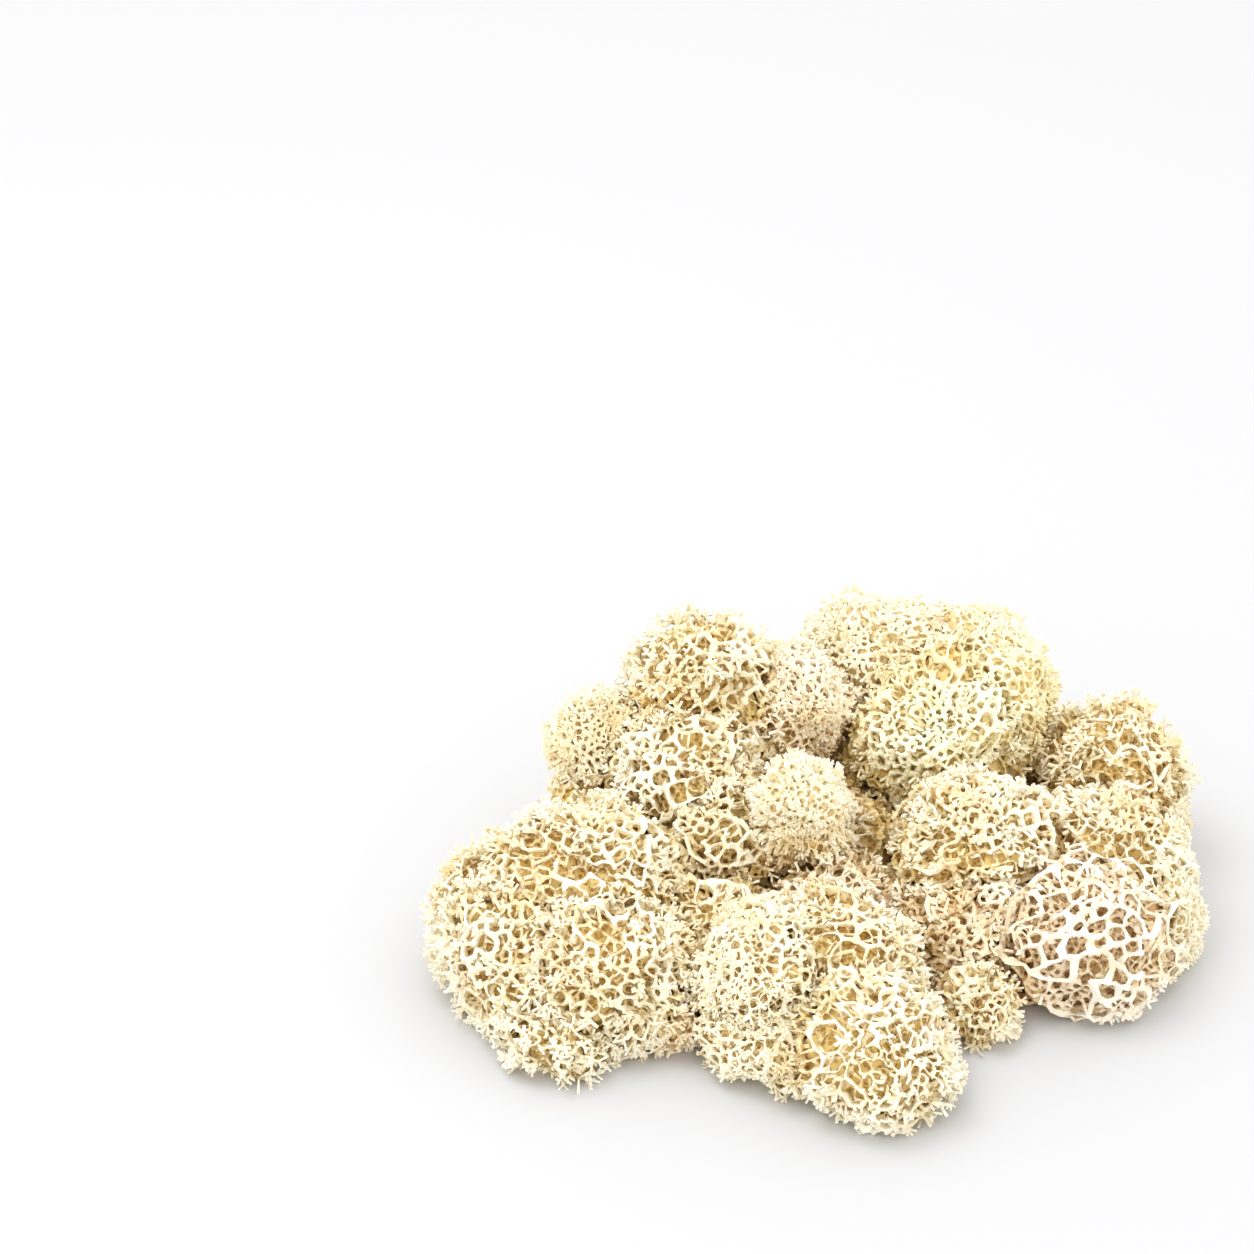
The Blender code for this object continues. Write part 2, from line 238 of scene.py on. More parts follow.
HEADS = [
    # The crest of the heap
    Head("top_left", "crest_left", (-58, 24, 70), (29, 27, 25), "ivory", OPEN),
    Head("back_centre", "crest_right", (0, 53, 60), (26, 26, 26), "cream", FUZZ),
    Head("back_right", "crest_right", (37, 60, 55), (22, 22, 22), "cream", FUZZ),
    Head("pink_recess", "crest_left", (-26, 26, 56), (20, 22, 23), "blush", LINED),
    Head("left_small", "left_small", (-96, 10, 53), (18, 19, 20), "cream", LINED),
    # The upper slopes
    Head("middle_left", "crest_left", (-65, -2, 42), (31, 28, 29), "ivory", NET),
    Head("centre_ball", "centre_ball", (-26, -27, 48), (19, 19, 23), "cream",
         replace(FUZZ, spread=0.5, ground=1.0, tips=0.85, spurs=0.5, bare=0.1)),
    Head("centre_left_low", "crest_left", (-53, -25, 32), (21, 20, 25), "cream", NET),
    Head("yellow_main", "crest_right", (21, 22, 45), (31, 30, 28), "straw",
         replace(NET, hole=4.6, depth=2.2, uneven=1.2, gap=1.8, ground=1.2, bare=0.9, own_shade=1.5)),
    Head("yellow_right", "crest_right", (45, 38, 49), (22, 24, 24), "straw", FUZZ),
    Head("net_upper", "right", (32, -26, 35), (31, 27, 26), "ivory", NET),
    # The right side
    Head("right_open", "right", (85, 22, 26), (28, 32, 36), "cream", OPEN),
    Head("right_upper", "right", (78, -20, 23), (28, 27, 27), "ivory", NET),
    Head("right_coarse", "right", (67, -58, 16), (31, 31, 29), "rose", COARSE),
    Head("right_fuzzy", "right", (93, -38, 12), (16, 19, 21), "cream",
         replace(FUZZ, thick=0.55, branch=0.5)),
    # The left side
    Head("left_top", "left", (-97, -39, 29), (35, 31, 29), "ivory", NET),
    Head("left_end", "left", (-130, -41, 21), (19, 20, 22), "cream", OPEN),
    Head("left_low", "left", (-123, -67, 14), (23, 25, 24), "cream", EDGE),
    Head("left_front", "left", (-87, -81, 17), (26, 25, 25), "ivory", EDGE),
    Head("left_tip", "left", (-108, -102, 6), (15, 17, 12), "ivory",
         replace(OPEN, hole=5.4)),
    # The front
    Head("front_left", "front", (-43, -79, 17), (25, 27, 28), "cream", LINED),
    Head("front_low", "front", (-38, -100, 8), (20, 21, 15), "cream", LINED),
    Head("front_middle", "front", (-14, -74, 22), (27, 26, 23), "ivory", NET),
    Head("front_right", "front", (-3, -116, 14), (27, 29, 24), "ivory",
         replace(NET, tips=0.5, branch=0.7)),
    Head("net_lower", "right", (27, -53, 15), (26, 24, 24), "blush", NET),
    Head("low_tuft", "low_tuft", (30, -82, 8), (15, 17, 15), "cream", replace(NET, hole=4.4)),
    Head("low_gap", "low_gap", (-67, -86, 7), (12, 16, 13), "blush", FUZZ),
    # Underneath and behind
    Head("under_centre", "under_centre", (-15, -42, 21), (24, 22, 20), "blush", NET),
    Head("low_middle", "low_middle", (-58, -54, 14), (25, 26, 24), "cream", NET),
    Head("base_left", "base", (-64, 14, 16), (31, 27, 28), "cream", PLAIN),
    Head("base_far_left", "base", (-98, -3, 17), (23, 23, 30), "cream", PLAIN),
    Head("base_middle", "base", (-21, -2, 15), (31, 31, 29), "cream", PLAIN),
    Head("base_back", "base", (-4, 50, 17), (33, 29, 33), "cream", PLAIN),
    Head("base_back_right", "base", (46, 50, 15), (28, 27, 28), "cream", PLAIN),
    Head("base_centre", "base", (33, 7, 13), (34, 28, 25), "cream", PLAIN),
]
HEAP_SHIFT = (17.5, 31.5, 0.0)    # brings the middle of the heap's outline over the origin


# Directions and noise

def unit(vectors):
    return vectors / np.linalg.norm(vectors, axis=-1, keepdims=True)


def even_ways(count, rng):
    """Unit vectors spread evenly over a sphere on a spiral, turned at random."""
    turn = Matrix.Rotation(rng.uniform(0, math.tau), 3, "X")
    turn = turn @ Matrix.Rotation(rng.uniform(0, math.tau), 3, "Y")
    k = np.arange(count)
    height = 1 - 2 * (k + 0.5) / count
    ring = np.sqrt(1 - height ** 2)
    angle = math.pi * (3 - math.sqrt(5)) * k
    spiral = np.stack([ring * np.cos(angle), ring * np.sin(angle), height], axis=1)
    return spiral @ np.array(turn).T


class Waves:
    """Smooth noise over directions, from about -1 to 1."""

    def __init__(self, noise, frequency, count=14):
        self.turns = noise.normal(size=(count, 3)) * frequency
        self.phases = noise.uniform(0, math.tau, count)

    def at(self, ways):
        crests = np.sin(ways @ self.turns.T + self.phases)
        return crests.sum(axis=1) / math.sqrt(len(self.phases))


def spokes(ways, count, noise):
    """Unit vectors square to each direction and evenly round it, turned at random."""
    side = unit(np.cross(ways, noise.normal(size=ways.shape)))
    across = np.cross(ways, side)
    angles = [k * math.tau / count for k in range(count)]
    return [side * math.cos(angle) + across * math.sin(angle) for angle in angles]


# The heads' outlines

def middle_of(head):
    return np.array(head.middle, float) + HEAP_SHIFT


def radius_of(head, ways):
    """How far a head's smooth outline lies from its middle along each direction."""
    return 1 / np.linalg.norm(ways / np.array(head.half, float), axis=-1)


class Shape:
    """A head's form: where its outline and its limits lie along any direction."""

    def __init__(self, head):
        self.head = head
        self.middle = middle_of(head)
        self.size = sum(head.half) / 3
        self.draw = random.Random(f"{SEED} {head.name}")
        self.noise = np.random.default_rng([SEED, HEADS.index(head)])
        self.near = []
        normals = []
        distances = []
        for other in HEADS:
            apart = middle_of(other) - self.middle
            length = np.linalg.norm(apart)
            if other is head or length >= max(head.half) + max(other.half) + NEIGHBOUR_GAP:
                continue
            merged = other.cushion == head.cushion
            self.near.append((other, MERGED_BLENDS[head.cushion] if merged else PARTED_BLEND))
            normal = apart / length
            own = radius_of(head, normal)
            others = radius_of(other, -normal)
            share = 0.5 + (own ** 2 - others ** 2) / (2 * length ** 2)
            share = min(1 - LEAST_SHARE, max(LEAST_SHARE, share))
            normals.append(normal)
            distances.append(share * length - NEIGHBOUR_GAP / 2)
        self.normals = np.array(normals)
        self.distances = np.array(distances)
        count = round(self.cells(LOBE_SPACING))
        self.lobes = even_ways(max(FEWEST_LOBES, count), self.draw)
        self.lobe_angle = math.sqrt(4 * math.pi / len(self.lobes)) * LOBE_REACH
        self.rough = Waves(self.noise, self.size / ROUGH_SIZE, ROUGH_WAVES)
        self.dents = Waves(self.noise, self.size / DENT_SIZE, DENT_WAVES)

    def cells(self, spacing):
        """How many cells of this spacing cover the whole outline."""
        return 4 * math.pi * self.size ** 2 / (PACKING * spacing ** 2)

    def owns(self, points):
        """Which points on the outline are the head's own, and not a neighbour's."""
        places = points + self.middle
        own = self.out_of(self.head, places)
        kept = np.ones(len(points), bool)
        for (other, _), normal, distance in zip(self.near, self.normals, self.distances):
            if other.cushion == self.head.cushion:
                kept &= own < self.out_of(other, places) + MERGED_LAP / self.size
            else:
                kept &= points @ normal < distance - PARTED_GAP
        return kept

    @staticmethod
    def out_of(head, places):
        """How far out places lie in a head, 1 on its plain outline."""
        return np.linalg.norm((places - middle_of(head)) / np.array(head.half, float), axis=1)

    def ground(self, ways):
        """The distance to the ground."""
        down = np.minimum(ways[:, 2], -TINY)
        return np.where(ways[:, 2] < 0, self.middle[2] / -down, np.inf)

    def limit(self, ways):
        """The distance to the nearest contact plane, or to the ground."""
        towards = ways @ self.normals.T
        reach = np.where(towards > 0, self.distances / np.maximum(towards, TINY), np.inf)
        return np.minimum(reach.min(axis=1), self.ground(ways))

    def merged(self, ways):
        """The smooth outline with the fillets that join it to its neighbours' outlines."""
        plain = radius_of(self.head, ways)
        rise = np.zeros(len(ways))
        for _ in range(BLEND_STEPS):
            points = self.middle + ways * (plain + rise)[:, None]
            fillets = np.zeros(len(ways))
            for other, blend in self.near:
                off = points - middle_of(other)
                far = np.linalg.norm(off, axis=1)
                height = far - radius_of(other, off / far[:, None])
                overlap = np.maximum(0, 1 - np.abs(rise - height) / blend)
                fillets += blend / 4 * overlap ** 2
            rise = (rise + np.minimum(fillets, MOST_RISE * plain)) / 2
        return plain + rise

    def swollen(self, ways):
        """The merged outline with the creases between the head's small swellings."""
        closest = (ways @ self.lobes.T).max(axis=1)
        off_lobe = np.minimum(1, np.arccos(np.minimum(1, closest)) / self.lobe_angle)
        swelling = 1 - LOBE_DEPTH * self.head.weave.lobes * off_lobe ** 2
        return self.merged(ways) * swelling - DENT_DEPTH * np.clip(self.dents.at(ways), 0, 1)

    def rootward(self):
        """The direction from the head's middle to the ground under the middle of the heap."""
        return -unit(self.middle)

    def stand_out(self, ways):
        """How far the tips may stand past the outline, less so upwards."""
        return self.head.weave.proud * (1 - FLATTER_TOP * np.maximum(0, ways[:, 2]))

    def openness(self, ways):
        """The share of the surroundings that each place on the outline can see."""
        rays = even_ways(SIGHT_RAYS, random.Random(SEED))
        points = self.middle + ways * self.swollen(ways)[:, None]
        facing = np.maximum(0, ways @ rays.T) * np.where(rays[:, 2] < 0, FLOOR_SIGHT, 1)
        free = np.ones(facing.shape, bool)
        for other in HEADS:
            if other is self.head:
                continue
            half = SOLID_SHARE * np.array(other.half)
            start = (points - middle_of(other)) / half
            run = rays / half
            along = start @ run.T
            run_squared = (run ** 2).sum(axis=1)
            miss = along ** 2 - run_squared * ((start ** 2).sum(axis=1) - 1)[:, None]
            free &= (miss < 0) | (along > 0)
        return (facing * free).sum(axis=1) / facing.sum(axis=1)

    def painted_shade(self, ways):
        """Painted shade: how much deeper a place is coloured for being shut in by other heads or lying
        in a fillet's crease, in millimetres.
        """
        samples = even_ways(SHADE_SAMPLES, random.Random(SEED))
        shut = np.clip((SHADE_START - self.openness(samples)) / SHADE_START, 0, 1) * SHADE_DEPTH
        shut += CREASE_SHADE * (self.merged(samples) - radius_of(self.head, samples))
        nearness = np.exp((ways @ samples.T - 1) * SHADE_SAMPLES / 2)
        return nearness @ shut / nearness.sum(axis=1)


# Meshes

class Lace:
    """The growing mesh of one head. Points are relative to the head's middle."""

    def __init__(self, shape):
        self.shape = shape
        self.points = []
        self.faces = []
        self.shade_offset = []
        self.count = 0

    def add_points(self, points, shade_offset=0.0):
        """Adds an array of points, coloured as if they lay deeper by the given offset as painted shade,
        and returns their numbers.
        """
        self.points.append(points)
        self.shade_offset.append(np.full(len(points), shade_offset))
        self.count += len(points)
        return np.arange(self.count - len(points), self.count)

    def add_faces(self, *corners):
        """Adds one face for each row of corner numbers."""
        self.faces.append(np.stack(corners, axis=1))

    def add_walls(self, lower, upper):
        """Four-sided faces between two rings of corners."""
        for k in range(len(lower)):
            after = (k + 1) % len(lower)
            self.add_faces(lower[k], lower[after], upper[after], upper[k])

    def mesh(self, name):
        """The finished mesh in metres, with every point's depth under the outline, deepened by painted
        shade where it is shut in.
        """
        points = np.concatenate(self.points)
        used = np.zeros(len(points), bool)
        for faces in self.faces:
            used[faces.ravel()] = True
        renumber = np.cumsum(used) - 1
        points = points[used]
        shade_offset = np.concatenate(self.shade_offset)[used]
        far = np.linalg.norm(points, axis=1)
        ways = points / far[:, None]
        outline = self.shape.swollen(ways)
        limit = outline + self.shape.stand_out(ways)
        held = np.minimum(far, limit + GIVE * (far - limit))
        points = self.shape.middle + ways * held[:, None]
        points[:, 2] = np.maximum(points[:, 2], CLEARANCE - GIVE * points[:, 2])

        data = bpy.data.meshes.new(name)
        data.vertices.add(len(points))
        data.vertices.foreach_set("co", (points * MM).astype(np.float32).ravel())
        corners = np.concatenate([renumber[faces].ravel() for faces in self.faces])
        sizes = np.concatenate([np.full(len(faces), faces.shape[1]) for faces in self.faces])
        starts = np.cumsum(sizes) - sizes
        data.loops.add(len(corners))
        data.loops.foreach_set("vertex_index", corners.astype(np.int32))
        data.polygons.add(len(sizes))
        data.polygons.foreach_set("loop_start", starts.astype(np.int32))
        data.polygons.foreach_set("loop_total", sizes.astype(np.int32))
        data.update(calc_edges=True)
        data.shade_smooth()
        data.set_sharp_from_angle(angle=math.radians(SHARP))
        # Painted shade: the depth that picks each point's colour grows where other heads, a fillet's
        # crease or the head's own lace shut it in, and on the core
        depth = data.attributes.new("depth", "FLOAT", "POINT")
        deep_and_shaded = outline - far + shade_offset + self.shape.painted_shade(ways)
        occluded = self.own_shade_share(points, ways, [renumber[faces] for faces in self.faces])
        deep_and_shaded += self.shape.head.weave.own_shade * occluded
        depth.data.foreach_set("value", deep_and_shaded.astype(np.float32))
        data.validate()
        return data

    def own_shade_share(self, points, ways, faces):
        """The share of each point's rays outwards that meet the head's own mesh, which deepens its
        colour as painted shade.
        """
        polygons = [corners for group in faces for corners in group.tolist()]
        tree = BVHTree.FromPolygons(points.tolist(), polygons)
        occluded = np.zeros(len(points))
        for spoke in spokes(ways, OWN_SHADE_RAYS, self.shape.noise):
            rays = unit(ways + OWN_SHADE_SLANT * spoke)
            starts = points + rays * OWN_SHADE_START
            occluded += [tree.ray_cast(start, ray, OWN_SHADE_REACH)[2] is not None
                    for start, ray in zip(starts.tolist(), rays.tolist())]
        return occluded / OWN_SHADE_RAYS


def hull_triangles(ways):
    """The triangles of the convex hull of points on a sphere, facing out."""
    hull = bmesh.new()
    verts = [hull.verts.new(way) for way in ways]
    bmesh.ops.convex_hull(hull, input=verts, use_existing_faces=False)
    hull.verts.index_update()
    triangles = np.array([[vert.index for vert in face.verts] for face in hull.faces])
    hull.free()
    return triangles


# Nets

@dataclass
class Nodes:
    """The nodes of a net, where its branches meet."""

    ways: np.ndarray
    radii: np.ndarray
    widths: np.ndarray

    def places(self):
        return self.ways * self.radii[:, None]


def scatter_holes(shape, spacing, missing, drift):
    """Directions to the middles of a net's holes, close together in some places only."""
    noise = shape.noise
    even = even_ways(round(shape.cells(spacing) / (1 - missing)), shape.draw)
    drifts = [Waves(noise, shape.size / (DRIFT_SIZE * spacing)).at(even) for _ in range(3)]
    stray = drift * np.stack(drifts, axis=1) + HOLE_JITTER * noise.normal(size=even.shape)
    strayed = unit(even + stray * (spacing / shape.size))
    crowding = Waves(noise, shape.size / (CROWDING_SIZE * spacing)).at(even)
    return strayed[noise.uniform(size=len(even)) > missing * (1 + CROWDING * crowding)]


def may_open(shape, holes, under, shut_in):
    """Which holes of a net lie on the head's own outline, not pressed flat and not shut in."""
    outline = shape.swollen(holes)
    kept = shape.owns(holes * (outline - under)[:, None])
    kept &= outline - shape.ground(holes) < PRESSED
    return kept & (shape.openness(holes) > shut_in)


def walk_round_holes(holes, triangles, ways):
    """The corners of all holes, in order round each: its hole, its node and the next corner."""
    hole = triangles.ravel()
    node = np.repeat(np.arange(len(triangles)), 3)
    side = unit(np.cross(holes, ASKEW))
    across = np.cross(holes, side)
    off = ways[node] - holes[hole]
    angle = np.arctan2((off * across[hole]).sum(axis=1), (off * side[hole]).sum(axis=1))
    order = np.lexsort((angle, hole))
    hole = hole[order]
    node = node[order]
    first = np.flatnonzero(np.concatenate([[True], hole[1:] != hole[:-1]]))
    after = np.arange(len(hole)) + 1
    after[np.concatenate([first[1:], [len(hole)]]) - 1] = first
    return hole, node, after


def run_streams(place, one, two, rootward, noise):
    """Runs branches together into streams towards the root.

    Returns the nodes' places, with the strong streams smoothed, and how much thicker
    than the net's own branches each node is.
    """
    links = {}
    for a, b in zip(one.tolist(), two.tolist()):
        length = float(np.linalg.norm(place[a] - place[b])) * noise.uniform(*STREAM_CHOICE)
        links.setdefault(a, []).append((b, length))
        links.setdefault(b, []).append((a, length))
    below = {}
    order = []
    waiting = []
    left = set(links)
    while left:
        if not waiting:
            waiting = [(0.0, max(left, key=lambda node: place[node] @ rootward), -1)]
        travelled, node, source = heapq.heappop(waiting)
        if node not in left:
            continue
        left.discard(node)
        below[node] = source
        order.append(node)
        for other, length in links[node]:
            if other in left:
                heapq.heappush(waiting, (travelled + length, other, node))
    carried = np.ones(len(place))
    above = {}
    for node in reversed(order):
        source = below[node]
        if source >= 0:
            carried[source] += carried[node]
            if source not in above or carried[node] > carried[above[source]]:
                above[source] = node
    smooth = [n for n in order if carried[n] >= STREAM_START and below[n] >= 0 and n in above]
    place = place.copy()
    sources = np.array([below[n] for n in smooth], int)
    followers = np.array([above[n] for n in smooth], int)
    smooth = np.array(smooth, int)
    for _ in range(STREAM_ROUNDS):
        place[smooth] = 0.5 * place[smooth] + 0.25 * (place[sources] + place[followers])
    return place, np.minimum(THINNEST + STREAM_GAIN * np.log(carried), THICKEST)


def hole_corners(holes, hole, node, place, width):
    """The middle of each hole, and each corner's distance from it and its place.

    Corners are drawn towards a circle, and in from their nodes by half the branches' width.
    """
    corners = np.maximum(1, np.bincount(hole, minlength=len(holes)))
    centre = np.stack([np.bincount(hole, place[node, k], len(holes)) for k in range(3)], axis=1)
    centre /= corners[:, None]
    arm = place[node] - centre[hole]
    length = np.linalg.norm(arm, axis=1)
    mean_length = np.bincount(hole, length, len(holes)) / corners
    far = (1 - HOLE_ROUNDNESS) * length + HOLE_ROUNDNESS * mean_length[hole]
    far = np.clip(far - SIDE_WIDTH * width[node], LEAST_HOLE * length, MOST_HOLE * length)
    return centre, far, centre[hole] + arm * (far / length)[:, None]


def add_net(lace, spacing, branch, under, uneven, missing, fin, dropped=0.0, fine=False,
            shut_in=SHUT_IN):
    """Weaves a net of branches round holes, at a depth under the outline.

    The fine net's branches are straight, the others bend at their middles. Returns the
    net's nodes and its branches' middles.
    """
    shape = lace.shape
    noise = shape.noise
    drift = shape.head.weave.drift * (FINE_DRIFT if fine else 1)
    holes = scatter_holes(shape, spacing, missing, drift)
    triangles = hull_triangles(holes)
    ways = unit(holes[triangles].mean(axis=1))
    hole, node, after = walk_round_holes(holes, triangles, ways)

    radius = shape.swollen(ways) - under + uneven * noise.uniform(-1, 1, len(ways))
    radius += SWAY * uneven * Waves(noise, shape.size / (SWAY_SIZE * spacing)).at(ways)
    place = ways * radius[:, None]
    here = np.flatnonzero(may_open(shape, holes, under, shut_in)[hole])
    there = after[here]
    key = np.minimum(node[here], node[there]) * len(triangles) + np.maximum(node[here], node[there])
    branches, which, sides = np.unique(key, return_inverse=True, return_counts=True)
    one, two = branches // len(triangles), branches % len(triangles)
    place, stream = run_streams(place, one, two, shape.rootward(), noise)
    ways, radius = unit(place), np.linalg.norm(place, axis=1)
    swell = SWELL * Waves(noise, shape.size / spacing).at(ways)
    swell += LONE_SWELL * noise.normal(size=len(ways))
    width = branch * np.clip(np.exp(swell), *SWELL_RANGE) * stream
    radius = np.minimum(radius, shape.ground(ways) - width)
    place = ways * radius[:, None]

    centre, rim_far, rim_point = hole_corners(holes, hole, node, place, width)
    front = lace.add_points(ways * (radius + width)[:, None])
    back = lace.add_points(ways * (radius - fin * width)[:, None])
    rim = lace.add_points(rim_point)

    lost = (noise.uniform(size=len(branches)) < dropped) & (sides == 2)
    add_loose_ends(lace, front, back, rim, node, here, there, which, lost)
    stay = ~lost[which]
    here, there, which = here[stay], there[stay], which[stay]
    start, end = node[here], node[there]
    edge = sides[which] == 1

    if fine:
        lace.add_faces(front[start], front[end], rim[there], rim[here])
        lace.add_faces(back[end], back[start], rim[here], rim[there])
        lace.add_faces(front[end][edge], front[start][edge], back[start][edge], back[end][edge])
    slim = SLIM * np.minimum(width[one], width[two])
    bend = noise.normal(size=(len(one), 3)) * (BRANCH_BEND * spacing)
    mid = 0.5 * (place[one] + place[two]) + bend
    mid_radius = np.linalg.norm(mid, axis=1)
    mid_way = mid / mid_radius[:, None]
    mid_radius = np.minimum(mid_radius, shape.ground(mid_way) - slim)
    if not fine:
        mid = mid_way * mid_radius[:, None]
        mid_front = lace.add_points(mid + mid_way * slim[:, None])[which]
        to_mid = mid[which] - centre[hole[here]]
        far = np.linalg.norm(to_mid, axis=1)
        reach = SIDE_CROWN / 2 * (rim_far[here] + rim_far[there])
        reach = np.clip(reach, LEAST_SIDE * far, np.maximum(LEAST_SIDE * far, far - slim[which]))
        mid_rim = lace.add_points(centre[hole[here]] + to_mid * (reach / far)[:, None])
        lace.add_faces(front[start], mid_front, mid_rim, rim[here])
        lace.add_faces(mid_front, front[end], rim[there], mid_rim)
        lace.add_faces(back[end], back[start], rim[here], mid_rim, rim[there])
        cut = (front[end], mid_front, front[start], back[start], back[end])
        lace.add_faces(*(corner[edge] for corner in cut))
    used = np.unique(start)
    whole = np.unique(which[~edge])
    return (Nodes(ways[used], radius[used], width[used]),
            Nodes(mid_way[whole], mid_radius[whole], slim[whole]))


def add_loose_ends(lace, front, back, rim, node, here, there, which, lost):
    """Closes both ends of every branch that is left out, in the sides of its two nodes."""
    gone = np.flatnonzero(lost[which])
    gone = gone[np.argsort(which[gone], kind="stable")]
    left, right = gone[0::2], gone[1::2]
    start, end = node[here[left]], node[there[left]]
    lace.add_faces(front[start], rim[here[left]], back[start], rim[there[right]])
    lace.add_faces(front[end], rim[here[right]], back[end], rim[there[left]])


# Tips, spurs and stems

def plant(lace, middles, axes, widths):
    """A closed three-sided root round each middle, square to its axis. Returns it and its places."""
    places = [middles + spoke * widths[:, None] for spoke in spokes(axes, 3, lace.shape.noise)]
    root = [lace.add_points(place) for place in places]
    lace.add_faces(*root[::-1])
    return root, places


def grow(lace, opening, corners, ends, widths):
    """Grows a three-sided branch out of each opening. Returns the ring at its end and its places."""
    middle = sum(corners) / 3
    run = unit(ends - middle)
    points = []
    for corner in corners:
        off = corner - middle
        off = unit(off - run * (off * run).sum(axis=1, keepdims=True))
        points.append(ends + off * widths[:, None])
    ring = [lace.add_points(point) for point in points]
    lace.add_walls(opening, ring)
    return ring, points


def add_prongs(lace, ring, points, axes, lengths, widths, spread, again):
    """Three prongs on the end of each branch, some of which fork once more."""
    noise = lace.shape.noise
    middle = sum(points) / 3
    notch_point = middle + axes * (NOTCH * widths)[:, None]
    notch = lace.add_points(notch_point)
    count = len(widths)
    for k in range(3):
        after = (k + 1) % 3
        out = unit(points[k] + points[after] - 2 * middle)
        slope = spread * noise.uniform(*PRONG_SLOPE, count)
        way = unit(axes + out * slope[:, None])
        reach = lengths * noise.uniform(*PRONG_REACH, count)
        forked = noise.uniform(size=count) < again
        opening = [ring[k], ring[after], notch]
        corners = [points[k], points[after], notch_point]
        blunt = ~forked
        end = middle + way * reach[:, None]
        tip, _ = grow(lace, [o[blunt] for o in opening], [c[blunt] for c in corners],
                      end[blunt], TAPER * widths[blunt])
        lace.add_faces(*tip)
        if forked.any():
            neck = middle + way * (NECK * reach)[:, None]
            neck_ring, neck_points = grow(lace, [o[forked] for o in opening],
                                          [c[forked] for c in corners],
                                          neck[forked], TAPER * widths[forked])
            add_prongs(lace, neck_ring, neck_points, way[forked], (1 - NECK) * reach[forked],
                       TAPER * widths[forked], WIDER_FORK * spread, 0)


def worn(ways, weave):
    """The share of tips and spurs that stays, in each direction."""
    facing = ways @ unit(np.array(BARE_FACE))
    edge = np.clip((facing - BARE_EDGE[0]) / (BARE_EDGE[1] - BARE_EDGE[0]), 0, 1)
    return 1 - weave.bare * edge


def add_tips(lace, nodes, weave):
    """Forked tips on the net's nodes, fanning out from the root of their lobe."""
    shape = lace.shape
    noise = shape.noise
    short = ROUGHNESS * np.minimum(0, shape.rough.at(nodes.ways) - FULL_REACH)
    reach = shape.swollen(nodes.ways) + shape.stand_out(nodes.ways) + short
    reach = np.minimum(reach, shape.ground(nodes.ways))
    height = reach - nodes.radii
    share = weave.tips * worn(nodes.ways, weave)
    picked = (noise.uniform(size=len(height)) < share) & (height > SHORTEST_TIP)
    if not picked.any():
        return
    ways, radii, height = nodes.ways[picked], nodes.radii[picked], height[picked]
    count = len(ways)
    base = ways * radii[:, None]
    lobe = shape.lobes[(ways @ shape.lobes.T).argmax(axis=1)]
    fan = unit(base - lobe * (FAN_ROOT * radii)[:, None])
    axis = unit(ways * (1 - FAN) + fan * FAN + noise.normal(size=(count, 3)) * TIP_WANDER)
    width = weave.thick * noise.uniform(*TIP_THICKNESS, count)
    root, corners = plant(lace, base, axis, ROOT_FLARE * width)
    waist = base + axis * (height * noise.uniform(*WAIST, count))[:, None]
    ring, points = grow(lace, root, corners, waist, width)
    length = height * noise.uniform(*PRONG_LENGTH, count)
    open_air = shape.openness(ways) > DIM
    for bright in (True, False):
        group = open_air == bright
        if group.any():
            add_prongs(lace, [r[group] for r in ring], [p[group] for p in points], axis[group],
                       length[group], PRONG_WIDTH * width[group], weave.spread,
                       weave.twice if bright else 0)


def add_spurs(lace, middles, weave):
    """Short blunt spurs on the net's branches."""
    shape = lace.shape
    noise = shape.noise
    room = np.minimum(shape.swollen(middles.ways), shape.ground(middles.ways)) - middles.radii
    picked = (noise.uniform(size=len(room)) < weave.spurs) & (room > SHORTEST_TIP)
    if not picked.any():
        return
    ways, base = middles.ways[picked], middles.places()[picked]
    count = len(ways)
    axis = unit(ways + noise.normal(size=(count, 3)) * SPUR_LEAN)
    width = SPUR_WIDTH * weave.thick * noise.uniform(*SPUR_THICKNESS, count)
    root, corners = plant(lace, base, axis, width)
    end = base + axis * noise.uniform(*SPUR_LENGTH, count)[:, None]
    tip, _ = grow(lace, root, corners, end, TAPER * width)
    lace.add_faces(*tip)


def add_stems(lace, lower, upper):
    """Stems from some nodes of the finer net up to the nearest node of the outer one."""
    noise = lace.shape.noise
    picked = noise.uniform(size=len(lower.ways)) < STEM_SHARE
    if not picked.any() or not len(upper.ways):
        return
    start = lower.places()[picked]
    nearest = (lower.ways[picked] @ upper.ways.T).argmax(axis=1)
    end = upper.places()[nearest]
    middle = 0.5 * (start + end) + noise.normal(size=start.shape) * STEM_BEND
    axis = unit(end - start)
    thick = lower.widths[picked]
    root, corners = plant(lace, start, axis, STEM_FLARE * thick)
    ring, points = grow(lace, root, corners, middle, STEM_WAIST * thick)
    top, _ = grow(lace, ring, points, end, upper.widths[nearest])
    lace.add_faces(*top)


def add_core(lace, under):
    """A closed lumpy core, at a depth under the outline, coloured darker than its depth alone as painted
    shade.
    """
    shape = lace.shape
    noise = shape.noise
    ways = even_ways(round(shape.cells(CORE_GRAIN)), shape.draw)
    outline = shape.swollen(ways)
    radius = np.minimum(np.maximum(outline - under, LEAST_CORE * outline), shape.limit(ways))
    radius -= noise.uniform(0, CORE_LUMPS, len(ways))
    # Painted shade: the core's points are coloured as if they lay deeper still
    corners = lace.add_points(ways * radius[:, None], CORE_SHADE)
    triangles = hull_triangles(ways)
    lace.add_faces(*(corners[triangles[:, k]] for k in range(3)))


